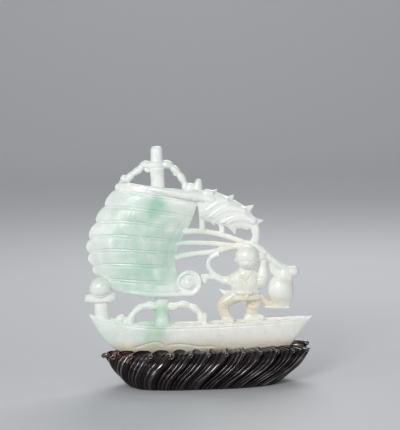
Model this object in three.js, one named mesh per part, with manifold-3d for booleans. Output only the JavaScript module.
// A jadeite sailing boat carved from one piece, standing in a dark hardwood stand carved as waves.
// Millimetres, +Z up, the bow towards +X and the front of the carving towards -Y. The origin is
// on the table, under the middle of the whole ornament.
import * as THREE from "three";
import { LoftGeometry } from "three/addons/geometries/LoftGeometry.js";
import { mergeVertices } from "three/addons/utils/BufferGeometryUtils.js";
import Module from "manifold-3d";

const wasm = await Module();
wasm.setup();

const { lerp, clamp } = THREE.MathUtils;
const TURN = 2 * Math.PI;

// Hull: a raked sampan with a shallow deck. The rake is the power of the curve of each end.
const hull = {
  stern: -58.8,
  bow: 60.3,
  keelStern: -36.8,
  keelBow: 46.8,
  sternRake: 0.45,
  bowRake: 1,
  gunwale: 32.7,
  sternSheer: 7,
  bowSheer: 1.9,
  keel: 14.6,
  keelRise: 3,
  halfWidth: 7.2,
  endWidth: 1.5,
  floorShare: 0.55,
  rim: 1.1,
  deckDepth: 0.6,
};

// Mast and its four garlands
const mast = { x: -19.6, radius: 3.7, headRadius: 3.2, headFrom: 121, top: 128.3 };

// Sail: eight lapped panels between a scalloped edge on the left and a plain one on the right
const sail = {
  panels: 8,
  firstPanel: 0.6,
  left: [[-39.8, 109.4], [-49.8, 94.4], [-57.2, 78.1], [-55.4, 64.4], [-49.4, 54.5]],
  right: [[2.6, 101.5], [-2.1, 88.3], [-8.6, 76.4], [-11.6, 63.6], [-6, 48.4]],
  bowUp: 3.3,
  footSag: 1.9,
  belly: 5.6,
  edgeY: 1,
  wrap: 3,
  thickness: 2.7,
  edgeThickness: 1.8,
  lap: 0.7,
  scallop: 1.9,
};
const yardEnd = [11, 98];

// Scroll that the foot of the sail rolls up into
const scroll = { x: -4.9, y: -1.5, z: 55.1, radius: 7.1, halfDepth: 3.6, band: 1.5 };

// Stern finial
const finial = { x: -52.1, neck: 3.6, brimZ: 48.6, brim: 9.15, ballZ: 53.9, ball: 5.9 };

// Stand: an oval of waves whose ridges lean to the right as they rise
const stand = { ridges: 26, ridgeDepth: 1.5, lean: 18, pocketGap: 0.35 };

// Turns a closed three.js geometry into a solid
function solid(geometry) {
  const bare = new THREE.BufferGeometry().setIndex(geometry.index);
  bare.setAttribute("position", geometry.attributes.position);
  const merged = mergeVertices(bare, 1e-3);
  const faces = [];
  for (let i = 0; i < merged.index.count; i += 3) {
    const [a, b, c] = merged.index.array.subarray(i, i + 3);
    if (a !== b && b !== c && c !== a) faces.push(a, b, c);
  }
  const vertProperties = merged.attributes.position.array;
  const shell = new wasm.Mesh({ numProp: 3, vertProperties, triVerts: new Uint32Array(faces) });
  return new wasm.Manifold(shell);
}

// Skins closed sections and caps both ends, whichever way round the sections are listed
function loft(sections) {
  const middle = (points) =>
    points.reduce((sum, p) => sum.add(p), new THREE.Vector3()).divideScalar(points.length);
  const [first, second] = sections;
  const centre = middle(first);
  const facing = new THREE.Vector3();
  first.forEach((p, i) => {
    const next = first[(i + 1) % first.length];
    facing.add(p.clone().sub(centre).cross(next.clone().sub(centre)));
  });
  const backwards = facing.dot(middle(second).sub(centre)) < 0;
  const ordered = backwards ? sections.map((points) => [...points].reverse()) : sections;
  return solid(new LoftGeometry(ordered, { capStart: true, capEnd: true }));
}

const fuse = (...solids) => wasm.Manifold.union(solids.flat());

// A point of the carving, given as its place in the front view and its depth
const place = ([x, z, y = 0]) => new THREE.Vector3(x, y, z);

// Steps evenly from 0 to 1, both ends included
const steps = (count) => Array.from({ length: count + 1 }, (_, i) => i / count);

// Reads a list of values as one smooth function of 0 to 1
function graded(values) {
  if (typeof values === "function") return values;
  const list = [values].flat();
  return (t) => {
    const at = clamp(t, 0, 1) * (list.length - 1);
    const i = Math.min(Math.floor(at), list.length - 2);
    return list.length === 1 ? list[0] : lerp(list[i], list[i + 1], at - i);
  };
}

const roundSection = (sides) =>
  steps(sides)
    .slice(0, sides)
    .map((s) => [Math.cos(TURN * s), Math.sin(TURN * s)]);

// A leaf's section: sharp edges and a raised midrib, front and back
const leafSection = roundSection(4);

// A bar along a smooth path. radius is its half-width in the front view and depth its half-depth.
// An end that shows is given a length in blunt, as a share of the radius there, and is rounded by it.
function strand(points, radius, options = {}) {
  const { depth = radius, section = roundSection(6), rings = 5, blunt = [0, 0] } = options;
  const path = new THREE.CatmullRomCurve3(points.map(place), false, "centripetal");
  const [wide, deep] = [graded(radius), graded(depth)];
  const ring = (t, shift, share) => {
    const along = path.getTangentAt(t);
    const across = new THREE.Vector3(-along.z, 0, along.x).normalize();
    const centre = path.getPointAt(t).addScaledVector(along, shift);
    return section.map(([u, v]) =>
      centre
        .clone()
        .addScaledVector(across, u * wide(t) * share)
        .add(new THREE.Vector3(0, v * deep(t) * share, 0)),
    );
  };
  const sections = steps(rings).map((t) => ring(t, 0, 1));
  if (blunt[0]) sections.unshift(ring(0, -blunt[0] * wide(0), 0.5));
  if (blunt[1]) sections.push(ring(1, blunt[1] * wide(1), 0.5));
  return loft(sections);
}

// A pointed leaf or tip from its root to its point, bulging at the share of its length called full
function leaf(points, width, depth, full = 0.35) {
  const skew = Math.log(0.5) / Math.log(full);
  const shape = (t) => 0.08 + 0.92 * Math.pow(Math.sin(Math.PI * Math.pow(t, skew)), 0.8);
  const root = (t) => (t < full ? 0.55 + 0.45 * Math.sin((Math.PI / 2) * (t / full)) : shape(t));
  return strand(points, (t) => width * root(t), {
    depth: (t) => depth * Math.sqrt(root(t)),
    section: leafSection,
    rings: 5,
    blunt: [0, 0.2],
  });
}

function ball(x, z, y, radii, [around, up] = [12, 8]) {
  const [rx, ry, rz] = [radii].flat().length === 3 ? radii : [radii, radii, radii];
  const geometry = new THREE.SphereGeometry(1, around, up).rotateX(Math.PI / 2);
  return solid(geometry.scale(rx, ry, rz).translate(x, y, z));
}

// A turned form standing on the point given, its profile as pairs of radius and height
function turned([x, z, y = 0], profile, { flat = 1, around = 16 } = {}) {
  const points = profile.map(([r, h]) => new THREE.Vector2(r, h));
  const geometry = new THREE.LatheGeometry(points, around).rotateX(Math.PI / 2);
  return solid(geometry.scale(1, flat, 1).translate(x, y, z));
}

// A body of level oval sections, each as height, centre, half-width, half-depth and centre's depth
function stack(levels, sides = 12) {
  const sections = levels.map(([z, x, wide, deep, y = 0]) =>
    roundSection(sides).map(([u, v]) => new THREE.Vector3(x + wide * u, y + deep * v, z)),
  );
  return loft(sections);
}

// Height of the gunwale at a share of the way from the stern to the bow
function sheer(s) {
  const aft = hull.sternSheer * Math.pow(clamp((0.33 - s) / 0.33, 0, 1), 1.6);
  const fore = hull.bowSheer * Math.pow(clamp(2 * s - 1, 0, 1), 2);
  return hull.gunwale + aft + fore;
}

const halfBreadth = (s) =>
  lerp(hull.endWidth, hull.halfWidth, Math.pow(1 - Math.pow(Math.abs(2 * s - 1), 3), 0.7));

// The hull's outer form, or that form grown on every side, which is what the stand's pocket takes
function hullForm(grow = 0) {
  const sections = steps(16).map((s) => {
    const u = 2 * s - 1;
    const wide = halfBreadth(s) + grow;
    const bottom = hull.keel + hull.keelRise * Math.pow(Math.abs(u), 5) - grow;
    const half = steps(5).map((h) => {
      const rake = Math.pow(h, lerp(hull.sternRake, hull.bowRake, s));
      const x = lerp(lerp(hull.keelStern, hull.keelBow, s), lerp(hull.stern, hull.bow, s), rake);
      const y = wide * lerp(hull.floorShare, 1, Math.pow(Math.sin((Math.PI / 2) * h), 0.8));
      return new THREE.Vector3(x + grow * u, y, lerp(bottom, sheer(s), h));
    });
    return [...half, ...half.map((p) => new THREE.Vector3(p.x, -p.y, p.z)).reverse()];
  });
  return loft(sections);
}

// The shallow deck inside the gunwale
function deckCut() {
  const from = 4 * hull.rim;
  const sections = steps(12).map((t) => {
    const x = lerp(hull.stern + from, hull.bow - from, t);
    const s = (x - hull.stern) / (hull.bow - hull.stern);
    const wide = Math.max(halfBreadth(s) - hull.rim, 0.4);
    const floor = sheer(s) - hull.deckDepth;
    return [
      new THREE.Vector3(x, wide, floor),
      new THREE.Vector3(x, wide, floor + 5),
      new THREE.Vector3(x, -wide, floor + 5),
      new THREE.Vector3(x, -wide, floor),
    ];
  });
  return loft(sections);
}

function mastForm() {
  const { x, radius, headRadius, headFrom, top } = mast;
  const foot = hull.gunwale - 2;
  const step = 0.8;
  return turned([x, 0], [
    [0, foot],
    [radius + 1, foot],
    [radius + 0.9, foot + 4],
    [radius, foot + 6.5],
    [radius, headFrom - 5],
    [radius + 0.3, headFrom - 3],
    [radius + 0.3, headFrom - 1],
    [headRadius, headFrom],
    [headRadius, top - 1.6],
    [headRadius * step, top - 0.4],
    [0, top],
  ], { around: 12 });
}

// A rope of rounded lobes that swings out and down from the mast. Its points are given from the
// mast's axis, and so are the balls carved on it, each as its place and its radius.
function garland(lobes, points, balls) {
  const away = ([x, z]) => [mast.x + x, z];
  const radius = (t) => 1.2 + 0.45 * Math.abs(Math.sin(Math.PI * lobes * t)) + 0.5 * Math.pow(1 - t, 6);
  const rope = strand(points.map(away), radius, {
    depth: (t) => 1.2 * radius(t),
    section: roundSection(5),
    rings: 2 * lobes + 1,
  });
  return [rope, ...balls.map(([x, z, r]) => ball(mast.x + x, z, 0, r, [6, 4]))];
}

// A short stem that carries the lowest ball of a garland down to the deck
const stem = (x, radius) => strand([[mast.x + x, 37], [mast.x + x, 32.6]], radius, { rings: 1 });

function garlands() {
  return [
    garland(3, [[-3, 118], [-7, 118.6], [-9.6, 116.1], [-12.8, 114.1], [-16.8, 110.4]],
      [[-5, 116.2, 1.9], [-17.6, 111.6, 2.1]]),
    garland(4, [[3, 118.4], [5.7, 118.4], [8.6, 116.3], [12, 112.3], [14.2, 108.3], [15.2, 103.5]],
      [[9.8, 113.6, 1.7]]),
    garland(3, [[-3, 42.2], [-7, 43.3], [-11, 42.6], [-14.6, 40.3], [-17.2, 36.4], [-17.4, 33]],
      [[-22.3, 37.4, 2.2]]),
    garland(4, [[3, 42.6], [6, 42], [9.4, 43.2], [12.8, 42.8], [17.4, 40.7], [20, 38.2], [20.8, 33]],
      [[6, 41.2, 1.7], [22.1, 36.5, 1.9]]),
    [stem(-22.3, 1.9), stem(22, 1.7)],
  ].flat();
}

// Where a share of the way along a batten and down the sail lies, before the laps are carved
function sailPoint(across, down) {
  const edge = (points) =>
    new THREE.SplineCurve(points.map(([x, z]) => new THREE.Vector2(x, z))).getPoint(down);
  const [a, b] = [edge(sail.left), edge(sail.right)];
  const bow = sail.bowUp * Math.pow(Math.sin(Math.PI * down), 1.2) - sail.footSag * Math.pow(down, 8);
  const skew = Math.sin(Math.PI * Math.pow(across, 0.6));
  const bend = Math.pow(Math.abs(2 * across - 1), 2.4);
  return {
    x: lerp(a.x, b.x, across),
    z: lerp(a.y, b.y, across) + bow * skew,
    y: sail.edgeY - sail.belly * (1 - bend) + sail.wrap * Math.pow(1 - across, 6),
    half: lerp(sail.thickness, sail.edgeThickness, bend) / 2,
  };
}

// How far down the sail each panel starts, the first being a narrow one under the yard
const panelTop = (panel) => Math.max(0, (panel - 1 + sail.firstPanel) / (sail.panels - 1 + sail.firstPanel));

function sailForm() {
  const columns = steps(6);
  const rows = [0.04, 0.3, 0.7, 1];
  const sections = [];
  for (let panel = 0; panel < sail.panels; panel += 1) {
    for (const local of rows) {
      const down = lerp(panelTop(panel), panelTop(panel + 1), panel === 0 && local < 0.1 ? 0 : local);
      const proud = sail.lap * local;
      const out = sail.scallop * Math.pow(Math.sin(Math.PI * clamp(local, 0.04, 0.96)), 0.7);
      const side = (facing) =>
        columns.map((across) => {
          const p = sailPoint(across, down);
          const x = p.x - out * Math.pow(1 - across, 8);
          return new THREE.Vector3(x, p.y + facing * (p.half + proud), p.z);
        });
      sections.push([...side(-1), ...side(1).reverse()]);
    }
  }
  return loft(sections);
}

// The rolled head of the sail, which runs on past its right edge
function yardForm() {
  const along = steps(5).map((across) => {
    const p = sailPoint(across, 0);
    return [p.x, p.z - 0.3, p.y];
  });
  const widths = [1.5, 1.8, 2.1, 2.3, 2.5, 2];
  return strand([...along, [...yardEnd, 0.5]], widths, {
    section: roundSection(8),
    rings: 7,
    blunt: [0.7, 0],
  });
}

function scrollForm() {
  const { x, y, z, radius, halfDepth, band } = scroll;
  const face = [
    [0, halfDepth],
    [2.2, halfDepth - 0.4],
    [3.9, halfDepth - 1.4],
    [radius - band, halfDepth - 1.5],
    [radius - band + 0.2, halfDepth - 0.1],
    [radius - 0.4, halfDepth - 0.1],
    [radius, halfDepth - 0.8],
  ];
  const outline = [...face.map(([r, h]) => [r, -h]), ...face.reverse()];
  const profile = outline.map(([r, h]) => new THREE.Vector2(r, h));
  const roll = new THREE.LatheGeometry(profile, 16).translate(x, y, z);
  return [solid(roll), ball(x + radius + 1, z + 0.3, y + 1, [1.7, 1.7, 2], [6, 4])];
}

// Three sheets from the sail that meet behind the boatman's head and go on as his carrying pole
function sheetsAndPole() {
  const knot = [20.5, 73.4, 1];
  const pole = [knot, [27.5, 74.6, 1], [32.4, 72.2, 1], [41.2, 64.2], [46, 60.9], [50.4, 59]];
  const ribbon = [[40.2, 64], [40.6, 61.4], [41.6, 59], [44, 57.6]];
  return [
    strand([[-7, 82.2], [-1, 82.2], [8, 81.2], [16, 78.9], [25, 75.2, 1]], [1.7, 1.4, 1.4, 1.5]),
    strand([[-11, 75.8], [-4, 76.1], [8, 75.4], knot], [1.4, 1.3, 1.4], { rings: 5 }),
    strand([[-12, 68.2], [-4, 69.8], [8, 70.9], knot], [1.7, 1.4, 1.6], { rings: 5 }),
    strand(pole, [1.9, 1.6, 1.9, 2, 2.1], { rings: 6 }),
    ball(50.9, 58.9, 0, 3.2, [8, 6]),
    strand(ribbon, [2.4, 2.6, 1.9], { depth: [1.6, 1.3, 1.1], rings: 4 }),
  ];
}

// Leafy spray that streams from the end of the yard and bends down to the pole
function sprayForm() {
  const ridge = [[7, 95.4], [13, 93.3], [19, 90.9], [25, 87.9], [29.6, 84.8]];
  const body = strand(ridge, [8.4, 8, 7.2, 6, 3.6], {
    depth: [2.3, 2.5, 2.4, 2.2, 1.8],
    section: roundSection(8),
    rings: 5,
  });
  const blades = [
    leaf([[-2, 100.6, -1], [5, 102.8, -1.2], [11.9, 104.4, 0]], 3, 2.3),
    leaf([[5, 95.4, -1.6], [13.4, 98, -1.8], [20.6, 101, 0]], 3.2, 2.4),
    leaf([[12, 90.4, -1.8], [21.8, 92.7, -2], [31, 95.2, 0]], 3.3, 2.4),
    leaf([[21, 88, -1.4], [29, 87.2, -1.6], [36, 86.9, 0]], 2.8, 2.3),
    leaf([[16.6, 87.5, -1.4], [19.6, 84, -1.2], [20.6, 79.6, 0]], 2.6, 2),
  ];
  const knobs = [
    strand([[-3, 101.5], [-2.5, 106.9]], [3.2, 2.3], { rings: 1, blunt: [0, 0.6] }),
    strand([[0.6, 102], [2.2, 109]], [3.9, 1.8], { rings: 1, blunt: [0, 0.6] }),
  ];
  const struts = [
    strand([[12.4, 88], [13.5, 84.4], [13.6, 80.8]], [2.4, 1.5, 1.5], { rings: 3 }),
    strand([[3.3, 98], [3.3, 90], [3.2, 82]], [2.4, 1.6, 1.7], { rings: 3 }),
    strand([[26, 87], [30.4, 84.2], [31.7, 79.4], [30.4, 74.8, 1]], [4.2, 2.8, 2.1, 2.5], {
      depth: [2.4, 2.2, 2],
      rings: 4,
    }),
  ];
  return [body, ...blades, ...knobs, ...struts];
}

function boatmanHead() {
  const y = -2;
  return [
    ball(26.5, 68.4, y, [6.35, 5.9, 6], [10, 7]),
    ball(26.1, 65, y - 0.3, [4.9, 5, 5.2], [8, 6]),
    ball(26, 64.8, y - 4.9, [0.8, 0.9, 1.3], [6, 4]),
  ];
}

// Robe from the collar over the belt to the flared hem, with the knot of the belt
function boatmanRobe() {
  const levels = [
    [62.5, 25.8, 3.7, 3.5, -1.4],
    [60.6, 25.4, 4.4, 3.9, -1],
    [58.6, 24.5, 7.3, 4.6, -0.8],
    [56, 24.2, 8.6, 5, -0.8],
    [53, 24.7, 7.9, 5.3, -1],
    [50.2, 25, 7.2, 5, -1],
    [49.6, 25, 7.7, 5.5, -1],
    [48.6, 25, 7.7, 5.5, -1],
    [48, 25.1, 7.4, 5.1, -0.9],
    [45.6, 25, 8.9, 5.7, -0.8],
    [44.8, 25, 8.3, 5.1, -0.8],
  ];
  const point = leaf([[19, 48, -0.5], [14.5, 48.6, -0.5], [10.6, 51.1, -0.5]], 2, 1.8, 0.3);
  return [stack(levels, 10), ball(28, 49.2, -6, [1.5, 1.1, 1.2], [6, 4]), point];
}

// One arm raised to the pole, one held out to the scroll, and the ribbon that hangs over it
function boatmanArms() {
  const raised = [[29.2, 56.6], [32.4, 53.2, -0.8], [34.6, 56.8, -0.8], [34.9, 62, -0.4], [34.9, 67.4]];
  const heldOut = [[18.6, 54.8], [14, 55.2], [9.6, 57], [5.4, 57.6], [1.6, 57.6]];
  const ribbon = [[11.6, 69.9], [8.4, 68.6], [6, 66], [6.4, 62], [8.8, 59], [12.6, 56]];
  return [
    strand(raised, [3.2, 2.6, 2.1, 2.1], { rings: 6 }),
    ball(34.3, 68.3, -0.2, [2.7, 2.5, 2.4], [7, 5]),
    strand(heldOut, [3.6, 2, 1.6, 1.5], { rings: 5 }),
    strand(ribbon, [1.8, 1.4, 1.4, 1.4, 1.5]),
  ];
}

function boatmanLegs() {
  const bent = [
    [21, 47.5, -0.6], [16.4, 45.4, -1.2], [13, 42.9, -1.6], [13.1, 39.8, -1.4], [14.5, 36.4, -1.2],
  ];
  const straight = [[28.6, 47, 0.4], [29.6, 43, 0.6], [28.4, 39.4, 0.8], [28, 34, 0.8]];
  return [
    strand([...bent, [14.8, 34, -1.2]], [4, 3.6, 3.3, 2.9, 2.9], { depth: [4.2, 3.2, 2.9] }),
    strand(straight, [4.3, 4, 3.2, 3.6], { depth: [4, 3.6, 3], rings: 4 }),
    strand([[13.6, 34.4, -1.4], [17, 34.3, -1.6]], [2.2, 2], { depth: 2.6, rings: 1, blunt: [0.7, 0.7] }),
    strand([[25.4, 34.6, 0.8], [30, 34.7, 0.6], [33.6, 34.4, 0.4]], [2.5, 2.3, 1.4], {
      depth: [3, 2.8, 1.8],
      rings: 3,
      blunt: [0.7, 0.7],
    }),
  ];
}

const boatman = () => [boatmanHead(), boatmanRobe(), boatmanArms(), boatmanLegs()].flat();

// The jar that hangs from the pole, on its own small foot, tied back to the boatman by a sash
function jarForm() {
  const body = [
    [0, 41],
    [4.8, 41],
    [5.1, 42.6],
    [6.7, 46],
    [7.15, 49.2],
    [6.6, 52.4],
    [5, 55.4],
    [3.4, 57],
    [0, 57.6],
  ];
  return [
    turned([43.9, 0], body, { flat: 0.86, around: 12 }),
    strand([[44.6, 54.6], [45.6, 57.6], [46.5, 60]], [4.4, 3.9, 3.2], {
      depth: [3.2, 2.6, 2],
      rings: 3,
    }),
    strand([[35.6, 40.9], [42, 40.4], [47.8, 40]], [1.25, 1.3, 1.2], {
      depth: [3, 4.4, 3.6],
      rings: 4,
      blunt: [0.7, 0.7],
    }),
    strand([[32.6, 46], [35, 43.6], [38, 41.6]], [2, 1.5, 1.5], { rings: 4 }),
  ];
}

function finialForm() {
  const { x, neck, brimZ, brim, ballZ, ball: r } = finial;
  const half = 1.9;
  return [
    turned([x, 0], [
      [0, 35],
      [neck - 0.4, 35],
      [neck, 38],
      [neck, brimZ],
      [0, brimZ],
    ], { flat: 0.9, around: 12 }),
    turned([x, 0], [
      [0, brimZ - half],
      [brim - 1.8, brimZ - half],
      [brim, brimZ - 0.3],
      [brim - 1.4, brimZ + half - 0.4],
      [r, brimZ + half + 0.3],
      [0, brimZ + half + 1],
    ], { flat: 0.72, around: 14 }),
    ball(x, ballZ, -0.6, r, [10, 7]),
  ];
}

// The whole jade carving
function jadeBoat() {
  const carving = fuse(
    hullForm().subtract(deckCut()),
    mastForm(),
    garlands(),
    sailForm(),
    yardForm(),
    scrollForm(),
    sheetsAndPole(),
    sprayForm(),
    boatman(),
    jarForm(),
    finialForm(),
  );
  return carving.simplify(0.08);
}

// A level ring of the stand: an oval, squarer as its power grows, with the ridges cut into it
function standRing({ z, middle, long, wide, power, cut, curl = 0, tip = 0 }) {
  const round = (value) => Math.sign(value) * Math.pow(Math.abs(value), 2 / power);
  const corners = steps(64)
    .slice(0, 64)
    .map((s) => new THREE.Vector3(long * round(Math.cos(TURN * s)), wide * round(Math.sin(TURN * s)), 0));
  const oval = new THREE.CatmullRomCurve3(corners, true, "centripetal");
  const profile = [1, 0.35, -1];
  const count = stand.ridges * profile.length;
  const shift = 1 + (stand.lean * z) / 20 / oval.getLength();
  return steps(count)
    .slice(0, count)
    .map((s, i) => {
      const along = (s + shift) % 1;
      const at = oval.getPointAt(along);
      const tangent = oval.getTangentAt(along);
      const ridge = profile[i % profile.length];
      const inward = (stand.ridgeDepth * cut * (1 - ridge)) / 2;
      const rise = curl * ridge + tip * Math.pow(Math.abs(at.x / long), 8);
      return new THREE.Vector3(middle + at.x - tangent.y * inward, at.y + tangent.x * inward, z + rise);
    });
}

function woodStand() {
  const rings = [
    { z: 0, middle: 1.8, long: 38.6, wide: 16.6, power: 2.8, cut: 0.3 },
    { z: 1, middle: 1.8, long: 40.8, wide: 18, power: 2.8, cut: 0.8 },
    { z: 4.8, middle: 2, long: 45.6, wide: 20.4, power: 2.5, cut: 1 },
    { z: 9, middle: 3, long: 50.1, wide: 21.6, power: 2.3, cut: 1 },
    { z: 13.4, middle: 3.5, long: 53.4, wide: 21, power: 2.1, cut: 1 },
    { z: 17, middle: 3.4, long: 56, wide: 18.6, power: 1.8, cut: 1, curl: 0.3 },
    { z: 18.8, middle: 3.4, long: 55.2, wide: 15.6, power: 1.7, cut: 1, curl: 0.6, tip: -0.8 },
    { z: 19.2, middle: 3.4, long: 52.6, wide: 12.4, power: 1.7, cut: 0.8, curl: 0.5, tip: -1.2 },
    { z: 19.4, middle: 3.4, long: 40, wide: 5, power: 2, cut: 0 },
  ];
  return loft(rings.map(standRing)).subtract(hullForm(stand.pocketGap));
}

// Wraps a solid as a mesh of its own material
function mesh(name, made, look) {
  const { vertProperties, numProp, triVerts } = made.getMesh();
  const positions = [];
  for (let i = 0; i < vertProperties.length; i += numProp) positions.push(...vertProperties.slice(i, i + 3));
  const geometry = new THREE.BufferGeometry();
  geometry.setAttribute("position", new THREE.Float32BufferAttribute(positions, 3));
  geometry.setIndex(new THREE.BufferAttribute(new Uint32Array(triVerts), 1));
  geometry.computeVertexNormals();
  const made3d = new THREE.Mesh(geometry, new THREE.MeshStandardMaterial({ ...look, flatShading: true }));
  made3d.name = name;
  return made3d;
}

const ornament = new THREE.Group();
ornament.add(
  mesh("jade_boat", jadeBoat(), { color: 0xd7e6da, roughness: 0.25, metalness: 0 }),
  mesh("wood_stand", woodStand(), { color: 0x24140f, roughness: 0.4, metalness: 0 }),
);

export default ornament;
